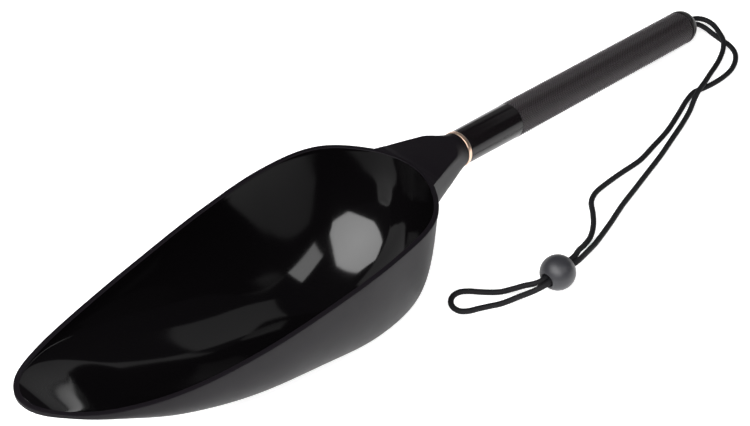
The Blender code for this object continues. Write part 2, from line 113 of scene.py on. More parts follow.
@contextmanager
def editing(piece: bpy.types.Object, mode: str = "FACE") -> Iterator[bmesh.types.BMesh]:
    """Open a piece in edit mode with nothing of it selected.

    Args:
        piece: The piece to edit.
        mode: What is being selected, VERT, EDGE or FACE.

    Returns:
        The mesh under edit, for picking its faces and edges.
    """
    select_only(piece)
    bpy.ops.object.mode_set(mode="EDIT")
    bpy.ops.mesh.select_mode(type=mode)
    bpy.ops.mesh.select_all(action="DESELECT")
    yield bmesh.from_edit_mesh(piece.data)
    bpy.ops.object.mode_set(mode="OBJECT")


def pick(builder: bmesh.types.BMesh, piece: bpy.types.Object, parts: list) -> None:
    """Select faces, edges or vertices of a mesh under edit.

    Args:
        builder: The mesh under edit.
        piece: The piece it belongs to.
        parts: The faces, edges or vertices to select.
    """
    for part in parts:
        part.select_set(True)
    builder.select_flush_mode()
    bmesh.update_edit_mesh(piece.data)


def laid_grid(name: str, places: np.ndarray) -> bpy.types.Object:
    """Add a grid and lay its vertices on a table of places.

    Args:
        name: The piece's name.
        places: Rows by columns by three coordinates, in metres.

    Returns:
        The laid piece, with a UV map that runs from 0 to 1 over rows (U) and columns (V).
    """
    rows, columns = places.shape[:2]
    select_only(None)
    bpy.ops.mesh.primitive_grid_add(x_subdivisions=rows - 1, y_subdivisions=columns - 1, size=1.0)
    piece = bpy.context.object
    piece.name = piece.data.name = name
    flat = np.empty(len(piece.data.vertices) * 3, np.float32)
    piece.data.vertices.foreach_get("co", flat)
    unit = flat.reshape(-1, 3) + 0.5
    row = np.rint(unit[:, 0] * (rows - 1)).astype(int)
    column = np.rint(unit[:, 1] * (columns - 1)).astype(int)
    piece.data.vertices.foreach_set("co", places[row, column].astype(np.float32).ravel())
    piece.data.update()
    return piece


def sew(piece: bpy.types.Object, distance: float = 1e-6) -> None:
    """Merge a piece's doubled vertices and point its faces outwards.

    Args:
        piece: The piece to close.
        distance: Vertices closer than this become one, in metres.
    """
    with editing(piece, "VERT"):
        bpy.ops.mesh.select_all(action="SELECT")
        bpy.ops.mesh.remove_doubles(threshold=distance)
        bpy.ops.mesh.normals_make_consistent(inside=False)


def cap_ends(piece: bpy.types.Object) -> None:
    """Sew a tube of laid rings along its seam and fill its two open ends."""
    sew(piece)
    with editing(piece, "EDGE") as builder:
        pick(builder, piece, [edge for edge in builder.edges if edge.is_boundary])
        bpy.ops.mesh.edge_face_add()
    sew(piece)


def turned(name: str, outline: list[tuple[float, float]], sides: int) -> bpy.types.Object:
    """Spin a closed outline about Z, as on a lathe.

    Args:
        name: The piece's name.
        outline: (radius, height) pairs round the wall's section, none of them on the axis.
        sides: Facets round the axis.

    Returns:
        The turned piece.
    """
    select_only(None)
    bpy.ops.mesh.primitive_circle_add(vertices=len(outline), radius=1.0, fill_type="NOTHING")
    piece = bpy.context.object
    piece.name = piece.data.name = name
    for vertex, (radius, height) in zip(piece.data.vertices, outline):
        vertex.co = (radius, 0.0, height)
    with editing(piece, "EDGE"):
        bpy.ops.mesh.select_all(action="SELECT")
        bpy.ops.mesh.spin(steps=sides, angle=2 * math.pi, center=(0, 0, 0), axis=(0, 0, 1))
    sew(piece)
    return piece


def arc(centre: tuple[float, float], radii: tuple[float, float], start: float, end: float,
        steps: int) -> list[tuple[float, float]]:
    """Points of an ellipse's arc.

    Args:
        centre: Radius and height of its centre.
        radii: Its reach outwards and upwards.
        start: First angle, in degrees.
        end: Last angle, in degrees.
        steps: Facets along the arc.

    Returns:
        (radius, height) pairs, both ends included.
    """
    turns = [math.radians(start + (end - start) * step / steps) for step in range(steps + 1)]
    return [(centre[0] + radii[0] * math.cos(turn), centre[1] + radii[1] * math.sin(turn))
            for turn in turns]


def sleeve(bore: float, radius: float, start: float, end: float, edge: float) -> list:
    """Outline of a plain bushing with rounded outer edges and eased bores.

    Args:
        bore: Radius of its hole.
        radius: Its outer radius.
        start: Height of its lower face.
        end: Height of its upper face.
        edge: Radius of the outer edges; the bore's edges get half of it.

    Returns:
        The closed outline for turned().
    """
    ease = edge / 2
    outline = [(bore + ease, start)]
    outline += arc((radius - edge, start + edge), (edge, edge), -90, 0, 6)
    outline += arc((radius - edge, end - edge), (edge, edge), 0, 90, 6)
    return outline + [(bore + ease, end), (bore, end - ease), (bore, start + ease)]


def settle(piece: bpy.types.Object, place: Matrix) -> None:
    """Move a piece to its place and leave that place in its mesh.

    Args:
        piece: A piece built at the origin.
        place: Its frame in the world.
    """
    piece.matrix_world = place
    select_only(piece)
    bpy.ops.object.transform_apply(location=True, rotation=True, scale=True)


def smooth(piece: bpy.types.Object, crease: float = 32.0) -> None:
    """Shade a piece smooth, with its edges sharper than an angle in degrees kept crisp."""
    select_only(piece)
    bpy.ops.object.shade_smooth_by_angle(angle=math.radians(crease))


def join_solids(piece: bpy.types.Object, tool: bpy.types.Object, operation: str) -> None:
    """Apply one exact Boolean and remove its tool.

    Args:
        piece: The solid that is kept.
        tool: The solid that is added to it or cut from it.
        operation: UNION or DIFFERENCE.
    """
    boolean = piece.modifiers.new(tool.name, "BOOLEAN")
    boolean.operation = operation
    boolean.object = tool
    boolean.solver = "EXACT"
    select_only(piece)
    bpy.ops.object.modifier_apply(modifier=boolean.name)
    bpy.data.objects.remove(tool, do_unlink=True)


def hand_over(piece: bpy.types.Object, body: Body, slot: Slot, *nodes: str) -> None:
    """Tie a finished piece to its body, in place of its plain solids.

    Args:
        piece: The finished piece, in place.
        body: The body it moves with.
        slot: The slot its finish belongs to; it is not used.
        nodes: The plain solids it stands for.
    """
    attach(piece, body.value)
    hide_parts(*nodes)
    log.info("%s rides on %s, %d faces", piece.name, body.value, len(piece.data.polygons))


# --- finishes --------------------------------------------------------------------------------
def linear(colour: str) -> tuple[float, float, float, float]:
    """Turn an sRGB hex colour into linear RGBA.

    Args:
        colour: Six hex digits with or without a leading #.

    Returns:
        Linear red, green, blue and an alpha of 1.
    """
    digits = colour.lstrip("#")
    channels = [int(digits[i:i + 2], 16) / 255 for i in (0, 2, 4)]
    return (*(c / 12.92 if c <= 0.04045 else ((c + 0.055) / 1.055) ** 2.4 for c in channels), 1.0)


def link_inputs(material: bpy.types.Material, node: bpy.types.Node, links: dict) -> None:
    """Feed a node's inputs from other nodes.

    Args:
        material: The material they are in.
        node: The node that is fed.
        links: Sockets of other nodes, by the name or number of the input that each feeds.
    """
    for key, source in links.items():
        material.node_tree.links.new(source, node.inputs[key])


def add_node(material: bpy.types.Material, kind: str, settings: dict | None = None,
             links: dict | None = None) -> bpy.types.Node:
    """Add a node to a material with its settings and links.

    Args:
        material: The material that gets the node.
        kind: The node's type, without its ShaderNode prefix.
        settings: Values for the node's properties, or for its inputs by name or number.
        links: Sockets of other nodes that feed its inputs, by name or number.

    Returns:
        The new node.
    """
    node = material.node_tree.nodes.new("ShaderNode" + kind)
    for key, value in (settings or {}).items():
        if isinstance(key, str) and hasattr(node, key):
            setattr(node, key, value)
        else:
            node.inputs[key].default_value = value
    link_inputs(material, node, links or {})
    return node


def new_material(name: str, settings: dict) -> tuple[bpy.types.Material, bpy.types.Node]:
    """Make a material with one Principled shader.

    Args:
        name: What the real finish is called.
        settings: Values for the shader's inputs, by name.

    Returns:
        The material and its shader.
    """
    made = bpy.data.materials.new(name)
    made.use_nodes = True
    shader = made.node_tree.nodes["Principled BSDF"]
    for key, value in settings.items():
        shader.inputs[key].default_value = value
    return made, shader


@dataclass(frozen=True)
class MouldedPlastic:
    """Injection-moulded plastic, either off a polished core or a spark-eroded cavity."""

    name: str
    colour: str
    roughness: tuple[float, float]
    grain: float                # size of the surface's grain, metres
    relief: float               # height of the grain, metres
    swell: float = 0.0          # height of the long waves that sink marks leave, metres
    swell_size: float = 0.030   # length of those waves, metres
    patch_size: float = 0.022   # length of a patch of even gloss, metres
    ior: float = 1.50           # typical of ABS and polypropylene
    sheen: float = 0.5          # share of specular light, less on an eroded surface

    def build(self) -> bpy.types.Material:
        """Make the material: fine grain over long shallow waves, with a patchy gloss."""
        made, shader = new_material(self.name, {"Base Color": linear(self.colour), "IOR": self.ior,
                                                "Specular IOR Level": self.sheen})
        where = add_node(made, "TexCoord").outputs["Object"]
        grain = add_node(made, "TexNoise", {"Scale": 1 / self.grain, "Detail": 3.0},
                         {"Vector": where}).outputs["Fac"]
        patches = add_node(made, "TexNoise", {"Scale": 1 / self.patch_size, "Detail": 2.0},
                           {"Vector": where}).outputs["Fac"]
        gloss = add_node(made, "MapRange", {"To Min": self.roughness[0],
                                            "To Max": self.roughness[1]}, {"Value": patches})
        bump = add_node(made, "Bump", {"Strength": 1.0, "Distance": self.relief}, {"Height": grain})
        if self.swell:
            waves = add_node(made, "TexNoise", {"Scale": 1 / self.swell_size, "Detail": 1.0},
                             {"Vector": where}).outputs["Fac"]
            bump = add_node(made, "Bump", {"Strength": 1.0, "Distance": self.swell},
                            {"Height": waves, "Normal": bump.outputs["Normal"]})
        link_inputs(made, shader, {"Roughness": gloss.outputs["Result"],
                                   "Normal": bump.outputs["Normal"]})
        return made


@dataclass(frozen=True)
class TurnedMetal:
    """Bar stock turned on a lathe: fine rings round the handle's axis, no coating."""

    name: str
    colour: str
    roughness: tuple[float, float]
    feed: float = 0.25 * MM     # spacing of the tool marks
    tool_mark: float = 0.004 * MM  # depth of the tool marks
    patch_size: float = 0.006   # length of a patch of even gloss, metres
    metallic: float = 1.0

    def build(self) -> bpy.types.Material:
        """Make the material: rings of tool marks and a soft change in gloss."""
        made, shader = new_material(self.name, {"Base Color": linear(self.colour),
                                                "Metallic": self.metallic})
        where = add_node(made, "TexCoord").outputs["Object"]
        along = add_node(made, "Mapping", HANDLE_AXES, {"Vector": where}).outputs["Vector"]
        rings = add_node(made, "TexWave", {"wave_type": "BANDS", "bands_direction": "Z",
                                           "Scale": math.pi / (10 * self.feed),
                                           "Distortion": 0.4}, {"Vector": along}).outputs["Fac"]
        patches = add_node(made, "TexNoise", {"Scale": 1 / self.patch_size, "Detail": 3.0},
                           {"Vector": where}).outputs["Fac"]
        gloss = add_node(made, "MapRange", {"To Min": self.roughness[0],
                                            "To Max": self.roughness[1]}, {"Value": patches})
        bump = add_node(made, "Bump", {"Strength": 0.35, "Distance": self.tool_mark},
                        {"Height": rings})
        link_inputs(made, shader, {"Roughness": gloss.outputs["Result"],
                                   "Normal": bump.outputs["Normal"]})
        return made


@dataclass(frozen=True)
class AnodisedAluminium:
    """Black anodised aluminium: a dyed glassy oxide film over turned or knurled metal."""

    name: str
    colour: str
    worn: str                   # colour where the film has rubbed thin
    roughness: tuple[float, float]
    metallic: float = 0.25
    ior: float = 1.60           # dyed and sealed aluminium oxide film
    crest: str = ""             # painted highlight: colour laid on the crests, where the surface is knurled
    crest_highlight_radii: tuple[float, float] = (12.35 * MM, 12.85 * MM)  # radii where the painted crest highlight starts and ends
    cloud_size: float = 0.009   # length of a cloud in the dye, metres
    grit_size: float = 0.35 * MM  # size of the etched metal's grain
    grit_relief: float = 0.006 * MM

    def paint_crest_highlights(self, made: bpy.types.Material, where: bpy.types.NodeSocket,
                   dye_and_highlight: bpy.types.NodeSocket) -> bpy.types.NodeSocket:
        """Paint a highlight on the crests: lighten the film's colour towards them, by distance from
        the handle's axis.

        Args:
            made: The material.
            where: Its Object coordinates.
            dye_and_highlight: Colour of the whole film.

        Returns:
            The colour with its painted crest highlights.
        """
        along = add_node(made, "Mapping", HANDLE_AXES, {"Vector": where}).outputs["Vector"]
        flat = add_node(made, "VectorMath", {"operation": "MULTIPLY", 1: (1.0, 1.0, 0.0)},
                        {0: along}).outputs["Vector"]
        radius = add_node(made, "VectorMath", {"operation": "LENGTH"}, {0: flat}).outputs["Value"]
        share = add_node(made, "MapRange", {"From Min": self.crest_highlight_radii[0], "From Max": self.crest_highlight_radii[1]},
                         {"Value": radius}).outputs["Result"]
        # painted highlight: the paler crest colour is mixed in towards the crests
        return add_node(made, "Mix", {"data_type": "RGBA", 7: linear(self.crest)},
                        {0: share, 6: dye_and_highlight}).outputs[2]

    def build(self) -> bpy.types.Material:
        """Make the material: cloudy dyed film, slightly thinner and duller in patches, painted crest
        highlights.
        """
        made, shader = new_material(self.name, {"Metallic": self.metallic, "IOR": self.ior})
        where = add_node(made, "TexCoord").outputs["Object"]
        clouds = add_node(made, "TexNoise", {"Scale": 1 / self.cloud_size, "Detail": 5.0,
                                             "Roughness": 0.6}, {"Vector": where}).outputs["Fac"]
        dye_and_highlight = add_node(made, "Mix", {"data_type": "RGBA", 6: linear(self.colour),
                                     7: linear(self.worn)}, {0: clouds}).outputs[2]
        # painted highlight: on knurling, the crests are painted paler than the grooves
        if self.crest:
            dye_and_highlight = self.paint_crest_highlights(made, where, dye_and_highlight)
        gloss = add_node(made, "MapRange", {"To Min": self.roughness[0],
                                            "To Max": self.roughness[1]}, {"Value": clouds})
        grit = add_node(made, "TexNoise", {"Scale": 1 / self.grit_size, "Detail": 2.0},
                        {"Vector": where}).outputs["Fac"]
        bump = add_node(made, "Bump", {"Strength": 0.5, "Distance": self.grit_relief},
                        {"Height": grit})
        link_inputs(made, shader, {"Base Color": dye_and_highlight, "Roughness": gloss.outputs["Result"],
                                   "Normal": bump.outputs["Normal"]})
        return made


@dataclass(frozen=True)
class BraidedCord:
    """Braided polyester cord: matt filaments that run along each strand of the braid."""

    name: str
    colour: str
    crown: str                  # colour where a strand stands proud
    roughness: float = 0.72
    fibre_size: float = 0.2     # length of a fibre's mark, in braid cells
    fibre_relief: float = 0.05 * MM

    def build(self, turns: float, strands: int) -> bpy.types.Material:
        """Make the material from the cord's own UV map.

        Args:
            turns: Braid cells along the whole cord.
            strands: Braid cells round the cord.

        Returns:
            The material.
        """
        made, shader = new_material(self.name, {"Roughness": self.roughness, "IOR": 1.45,
                                                "Specular IOR Level": 0.3})
        uv = add_node(made, "TexCoord").outputs["UV"]
        cells = add_node(made, "Mapping", {"Scale": (turns, strands, 1.0)},
                         {"Vector": uv}).outputs["Vector"]
        fibres = add_node(made, "TexNoise", {"Scale": 1 / self.fibre_size, "Detail": 4.0,
                                             "Distortion": 0.6}, {"Vector": cells}).outputs["Fac"]
        colour = add_node(made, "Mix", {"data_type": "RGBA", 6: linear(self.colour),
                                        7: linear(self.crown)}, {0: fibres})
        bump = add_node(made, "Bump", {"Strength": 0.6, "Distance": self.fibre_relief},
                        {"Height": fibres})
        link_inputs(made, shader, {"Base Color": colour.outputs[2],
                                   "Normal": bump.outputs["Normal"]})
        return made


# --- bowl ------------------------------------------------------------------------------------
def read_smooth(values: tuple[float, ...], step: np.ndarray) -> np.ndarray:
    """Read equally spaced values at fractional steps, on a smooth curve.

    Args:
        values: The values at whole steps.
        step: The steps to read at.

    Returns:
        The values read.
    """
    last = len(values) - 1
    padded = np.array([2 * values[0] - values[1], *values, 2 * values[-1] - values[-2]])
    low = np.clip(step.astype(int), 0, last - 1)
    part = step - low
    before, start, end, after = (padded[low + i] for i in range(4))
    start_slope, end_slope = (end - before) / 2, (after - start) / 2
    return (start * (1 + 2 * part) * (1 - part) ** 2 + start_slope * part * (1 - part) ** 2
            + end * part ** 2 * (3 - 2 * part) + end_slope * part ** 2 * (part - 1))


@dataclass
class ScoopBowl:
    """The moulding: bowl with a flat rim, shoulder and neck, and the pocket for the insert.

    The three tables are offsets at equal steps of angle from the tip round to the back.
    """

    length: float = 0.3088
    rim_band: float = 3.3 * MM
    edge: float = 2.2 * MM      # height of the rim's outer edge
    wall: float = 3.0 * MM
    lip: float = 0.45 * MM      # how far the rim stands out over the wall
    rim_round: float = 0.45 * MM
    section_power: float = 3.0
    back_start: float = 0.2433
    back_power: float = 4.3
    inner_power: float = 2.0    # the hollow's corners are rounder than the outside's
    inner_back_start: float = 0.1750
    inner_back_power: float = 2.35
    half_widths: tuple[float, ...] = (0.0, 0.0189, 0.0348, 0.0472, 0.0553, 0.0597, 0.0598,
                                      0.0520, 0.0283, 0.0)
    depths: tuple[float, ...] = (0.0022, 0.0030, 0.0110, 0.0315, 0.0540, 0.0730, 0.0905,
                                 0.0940, 0.0940, 0.0940)
    rim_heights: tuple[float, ...] = (0.0, -0.0016, -0.0071, -0.0105, -0.0088, -0.0036, 0.0010,
                                      0.0021, 0.0006, 0.0)
    stations: int = 170         # facets from tip to back
    sides: int = 40             # facets from rim to keel, on each skin
    lid: float = 0.030          # how far a cutter stands above the rim
    flare_length: float = 0.0600
    neck_run: float = 0.30      # share of that length over which the neck is still round
    spread: float = 16.5 * MM   # how much wider the shoulder's front end is than the neck
    spread_power: float = 1.15
    edge_round: float = 2.5 * MM  # rounding of the flat top's edges, across
    shelf: float = 3.0 * MM     # and down
    belly: float = 20.5 * MM    # depth of the shoulder's walls below that rounding
    belly_drop: float = 20.0 * MM  # how much deeper the front end is
    wall_power: float = 1.5     # how much squarer than a circle the walls are
    flare_steps: int = 72
    flare_sides: int = 28
    pocket_radius: float = 7.9 * MM
    pocket_depth: float = 25.0 * MM

    def angles(self) -> np.ndarray:
        """Angles of the stations, 0 at the tip and pi at the back."""
        return np.linspace(0.0, math.pi, self.stations + 1)

    def section_turns(self) -> np.ndarray:
        """Section angles of a skin, 0 at the rim and a quarter turn at the keel."""
        return np.linspace(0.0, math.pi / 2, self.sides + 1)

    def outline(self, angle: np.ndarray, inset: float) -> tuple[np.ndarray, np.ndarray]:
        """Plan of the rim's outer edge moved in by some distance.

        Args:
            angle: Station angles.
            inset: Distance moved in, square to the edge.

        Returns:
            X and half width at each station.
        """
        def edge_at(at: np.ndarray) -> tuple[np.ndarray, np.ndarray]:
            half = read_smooth(self.half_widths, at / math.pi * (len(self.half_widths) - 1))
            return self.length / 2 * (1 - np.cos(at)), half

        small = 0.002           # step in angle over which the edge's heading is read
        ahead = edge_at(np.minimum(angle + small, math.pi))
        behind = edge_at(np.maximum(angle - small, 0.0))
        run, rise = ahead[0] - behind[0], ahead[1] - behind[1]
        reach = np.hypot(run, rise)
        along, half = edge_at(angle)
        along, half = along + inset * rise / reach, half - inset * run / reach
        along[0], half[0], along[-1], half[-1] = inset, 0.0, self.length - inset, 0.0
        return along, np.maximum(half, 0.0)

    def rim_height(self, angle: np.ndarray) -> np.ndarray:
        """Height of the rim at each station angle."""
        return read_smooth(self.rim_heights, angle / math.pi * (len(self.rim_heights) - 1))

    def depth(self, angle: np.ndarray, along: np.ndarray, back: float) -> np.ndarray:
        """Depth of the outer skin below the rim.

        Args:
            angle: Station angles.
            along: X of each station.
            back: X where the back wall reaches the rim.

        Returns:
            Depth at each station.
        """
        inner = back < self.length - self.lip
        start = self.inner_back_start if inner else self.back_start
        power = self.inner_back_power if inner else self.back_power
        keel = read_smooth(self.depths, angle / math.pi * (len(self.depths) - 1))
        run = np.clip((along - start) / (back - start), 0.0, 1.0)
        return self.edge + (keel - self.edge) * (1 - run ** power) ** (1 / power)

    def skin(self, angle: np.ndarray, inset: float, wall: float, edge: np.ndarray,
             turns: np.ndarray) -> np.ndarray:
        """Places of one side's skin from rim to keel.

        Args:
            angle: Station angles.
            inset: How far the skin's rim stands inside the outer edge.
            wall: Thickness taken off the depth at the widest station.
            edge: How far below the rim the skin starts, at each station.
            turns: Section angles, 0 at the rim and a quarter turn at the keel.

        Returns:
            Stations by turns by three coordinates.
        """
        along, half = self.outline(angle, inset)
        floor = self.depth(angle, along + inset / 2, self.length - inset / 2)
        floor = floor - (self.edge * bool(wall) + (wall - self.edge * bool(wall)) * np.sin(angle))
        across, down = np.cos(turns), np.sin(turns)
        power = self.inner_power if inset > self.rim_band / 2 else self.section_power
        reach = (across ** power + down ** power) ** (-1 / power)
        drop = np.maximum(floor - edge, 0.0)
        places = np.empty((len(angle), len(turns), 3))
        places[:, :, 0] = along[:, None]
        places[:, :, 1] = half[:, None] * (reach * across)[None, :]
        places[:, :, 2] = ((self.rim_height(angle) - edge)[:, None]
                           - drop[:, None] * (reach * down)[None, :])
        return places

    def band(self, angle: np.ndarray, inset: np.ndarray | float, drop: np.ndarray) -> np.ndarray:
        """Places of one line along the rim.

        Args:
            angle: Station angles.
            inset: How far the line stands inside the outer edge, at each station.
            drop: How far it lies below the rim, at each station.

        Returns:
            Stations by one by three coordinates.
        """
        along, half = self.outline(angle, 0.0)
        inner_along, inner_half = self.outline(angle, self.rim_band)
        share = np.broadcast_to(inset, angle.shape) / self.rim_band
        places = np.stack([along + (inner_along - along) * share, half + (inner_half - half) * share,
                           self.rim_height(angle) - drop], axis=1)
        return places[:, None, :]

    def half_shell(self) -> tuple[np.ndarray, int]:
        """Places of the +Y half: outer keel, up the wall, over the rim, inner keel.

        Returns:
            The places, and the column where the rim ends and the hollow starts.
        """
        angle, turns = self.angles(), self.section_turns()
        full = np.ones_like(angle)
        under = self.edge + 0.15 * MM
        outer = self.skin(angle, self.lip, 0.0, under * full, turns)[:, ::-1]
        inner_floor = self.depth(angle, self.outline(angle, self.rim_band)[0] + self.rim_band / 2,
                                 self.length - self.rim_band / 2) - self.edge
        eased = np.clip(inner_floor / 2, 0.02 * MM, self.rim_round)
        inner = self.skin(angle, self.rim_band, self.wall, eased, turns)
        columns = [outer, self.band(angle, 0.0, self.edge * full)]
        for step in range(5):
            turn = math.pi / 2 * step / 4
            columns.append(self.band(angle, self.rim_round * (1 - math.cos(turn)),
                                     self.rim_round * (1 - math.sin(turn)) * full))
        for step in range(4):
            turn = math.pi / 2 * step / 4
            columns.append(self.band(angle, self.rim_band - eased * (1 - math.sin(turn)),
                                     eased * (1 - math.cos(turn))))
        rim_end = sum(column.shape[1] for column in columns)
        return np.concatenate([*columns, inner], axis=1), rim_end

    def shell(self, finishes: list[bpy.types.Material]) -> bpy.types.Object:
        """Build the bowl without its shoulder.

        Args:
            finishes: The matt outside finish and the gloss inside finish.

        Returns:
            The closed shell, in the scoop frame.
        """
        near, rim_end = self.half_shell()
        far = near[:, ::-1].copy()
        far[:, :, 1] *= -1
        places = np.concatenate([near, far[:, 1:]], axis=1)
        piece = laid_grid("scoop_bowl_moulding", places)
        for finish in finishes:
            piece.data.materials.append(finish)
        columns = places.shape[1] - 1
        half = near.shape[1] - 1
        level = piece.data.uv_layers[0].data
        for face in piece.data.polygons:
            column = sum(level[i].uv[1] for i in face.loop_indices) / 4 * columns
            face.material_index = int(abs(column - half) < half - rim_end)
        sew(piece)
        return piece

    def flare(self, finishes: list[bpy.types.Material]) -> bpy.types.Object:
        """Build the loft from the round neck to the flat shoulder that runs into the bowl.

        Args:
            finishes: The matt outside finish and the gloss inside finish.

        Returns:
            The closed loft, in the scoop frame.
        """
        radius = NECK_RADIUS
        neck_face = RING_CENTRE[0] - RING_HALF - GAP
        rows = []
        for run in np.linspace(0.0, 1.0, self.flare_steps + 1):
            along = neck_face - self.flare_length * run
            share = min(run / self.neck_run, 1.0)
            ease = share * share * (3 - 2 * share)
            half = radius + self.spread * run ** self.spread_power
            web = (half - self.edge_round * (1 - run) ** 2) * ease
            shelf = radius + (self.shelf - radius) * ease
            belly = radius + (self.belly - radius) * ease + self.belly_drop * run
            power = 2.0 + self.wall_power * ease
            top = self.shoulder_height(along, neck_face)
            upper = np.linspace(math.pi / 2, 0.0, self.flare_sides + 1)[:-1]
            lower = np.linspace(0.0, math.pi / 2, self.flare_sides + 1)
            across = np.concatenate([[0.0], web + (half - web) * np.cos(upper),
                                     half * np.abs(np.cos(lower)) ** (2 / power)])
            height = np.concatenate([[top], top - shelf * (1 - np.sin(upper)),
                                     top - shelf - belly * np.sin(lower) ** (2 / power)])
            across[-1] = 0.0
            across = np.concatenate([across, -across[-2:0:-1], across[:1]])
            height = np.concatenate([height, height[-2:0:-1], height[:1]])
            lean = math.tan(HANDLE_TILT) * (1 - run)
            rows.append(np.stack([along + lean * (height - RING_CENTRE[2]), across, height], axis=1))
        piece = laid_grid("shoulder", np.array(rows))
        for finish in finishes:
            piece.data.materials.append(finish)
        cap_ends(piece)
        return piece

    def shoulder_height(self, along: float, neck_face: float) -> float:
        """Height of the shoulder's flat top.

        Args:
            along: X of the section.
            neck_face: X of the neck's end.

        Returns:
            Just under the rim beside the bowl, easing down to the neck's top beyond it.
        """
        sunk = 0.03 * MM        # the flat top stands this far below the rim
        if along <= self.length:
            angle = np.array([math.acos(1 - 2 * along / self.length)])
            return float(self.rim_height(angle)[0]) - sunk
        ease = (along - self.length) / (neck_face - self.length)
        neck_top = RING_CENTRE[2] + NECK_RADIUS
        return -sunk + (neck_top + sunk) * ease * ease * (3 - 2 * ease)

    def hollow(self) -> bpy.types.Object:
        """Build a block that fills the bowl to the middle of its wall and stands above it."""
        angle, turns = self.angles(), self.section_turns()
        middle = self.rim_band / 2
        edge = np.full_like(angle, 0.01 * MM)
        low = self.skin(angle, middle, self.edge / 2 + self.wall / 2, edge, turns)[:, ::-1]
        high = low[:, -1:].copy()
        high[:, :, 2] += self.lid
        centre = high.copy()
        centre[:, :, 1] = 0.0
        half = np.concatenate([low, high, centre], axis=1)
        other = half[:, ::-1].copy()
        other[:, :, 1] *= -1
        piece = laid_grid("hollow_tool", np.concatenate([half, other[:, 1:]], axis=1))
        sew(piece)
        return piece

    def flatten_base(self, piece: bpy.types.Object) -> None:
        """Press the few facets below the floor onto it, as the moulding's foot."""
        for vertex in piece.data.vertices:
            vertex.co.z = max(vertex.co.z, 0.0)

    def build(self, matt: MouldedPlastic, gloss: MouldedPlastic) -> bpy.types.Object:
        """Build and dress the whole moulding.

        Args:
            matt: Finish of the outside, the rim and the shoulder.
            gloss: Finish of the hollow.

        Returns:
            The finished piece.
        """
        finishes = [matt.build(), gloss.build()]
        piece = self.shell(finishes)
        shoulder = self.flare(finishes)
        join_solids(shoulder, self.hollow(), "DIFFERENCE")
        join_solids(piece, shoulder, "UNION")
        settle(piece, SCOOP_FRAME)
        pocket = turned("pocket_tool", [(0.01 * MM, -self.pocket_depth),
                                        (self.pocket_radius, -self.pocket_depth),
                                        (self.pocket_radius, 5 * MM), (0.01 * MM, 5 * MM)], 96)
        settle(pocket, HANDLE_FRAME)
        join_solids(piece, pocket, "DIFFERENCE")
        self.flatten_base(piece)
        smooth(piece)
        hand_over(piece, Body.SCOOP, Slot.BOWL, "scoop_bowl")
        return piece


# --- handle ----------------------------------------------------------------------------------
@dataclass
class HandleJoint:
    """What screws the handle to the scoop: brass insert, collar ring and steel stud."""

    insert_radius: float = 7.5 * MM
    insert_ends: tuple[float, float] = (-22.5 * MM, -2.2 * MM)
    grooves: tuple[float, ...] = (-17.0 * MM, -12.0 * MM, -7.0 * MM)
    groove_depth: float = 0.7 * MM
    groove_half: float = 1.1 * MM  # half a groove's width at the surface
    ring_radius: float = 12.2 * MM
    ring_edge: float = 0.35 * MM
    stud_ends: tuple[float, float] = (-19.0 * MM, 15.0 * MM)
    crest: float = 4.7 * MM     # radius over a 3/8 in thread
    root: float = 4.0 * MM
    pitch: float = 1.27 * MM    # 20 threads per inch
    stud_sides: int = 40
    per_turn: int = 12

    def insert(self) -> bpy.types.Object:
        """Build the brass insert with grooves that hold it in the plastic."""
        start, end = self.insert_ends
        radius, bevel, nose, lead_in = self.insert_radius, 0.4 * MM, 0.5 * MM, 0.3 * MM
        outline = [(STUD_HOLE + lead_in, start), (radius - nose, start), (radius, start + nose)]
        for groove in self.grooves:
            outline += [(radius, groove - self.groove_half),
                        (radius - self.groove_depth, groove - self.groove_depth),
                        (radius - self.groove_depth, groove + self.groove_depth),
                        (radius, groove + self.groove_half)]
        outline += [(radius, end - bevel), (radius - bevel, end), (STUD_HOLE + bevel, end),
                    (STUD_HOLE, end - bevel), (STUD_HOLE, start + lead_in)]
        return turned("brass_insert", outline, 96)

    def stud(self) -> bpy.types.Object:
        """Build the stud with a real helical thread that fades out at both ends."""
        start, end = self.stud_ends
        count = round((end - start) / self.pitch * self.per_turn)
        height = np.linspace(start, end, count + 1)[:, None]
        side = np.linspace(0.0, 1.0, self.stud_sides + 1)[None, :]
        ease = np.clip(np.minimum(height - start, end - height) / (2 * self.pitch), 0.0, 1.0)
        phase = (height / self.pitch - side) % 1.0
        flank = np.clip(1.25 * (1 - np.abs(2 * phase - 1)) - 0.125, 0.0, 1.0)
        radius = self.root + (self.crest - self.root) * ease * flank
        turn = 2 * math.pi * side
        places = np.stack([radius * np.cos(turn), radius * np.sin(turn),
                           np.broadcast_to(height, radius.shape)], axis=2)
        piece = laid_grid("thread_stud", places)
        cap_ends(piece)
        return piece

    def build(self, brass: TurnedMetal, copper: TurnedMetal, steel: TurnedMetal) -> None:
        """Build, place and dress the three pieces.

        Args:
            brass: Finish of the insert.
            copper: Finish of the ring.
            steel: Finish of the stud.
        """
        ring = turned("copper_collar", sleeve(STUD_HOLE, self.ring_radius, -RING_HALF, RING_HALF,
                                              self.ring_edge), 128)
        for piece, finish, body, slot, node in (
                (self.insert(), brass, Body.SCOOP, Slot.INSERT, "threaded_insert"),
                (ring, copper, Body.COLLAR, Slot.RING, "collar_ring"),
                (self.stud(), steel, Body.HANDLE, Slot.STUD, "threaded_stud")):
            settle(piece, HANDLE_FRAME)
            piece.data.materials.append(finish.build())
            smooth(piece)
            hand_over(piece, body, slot, node)


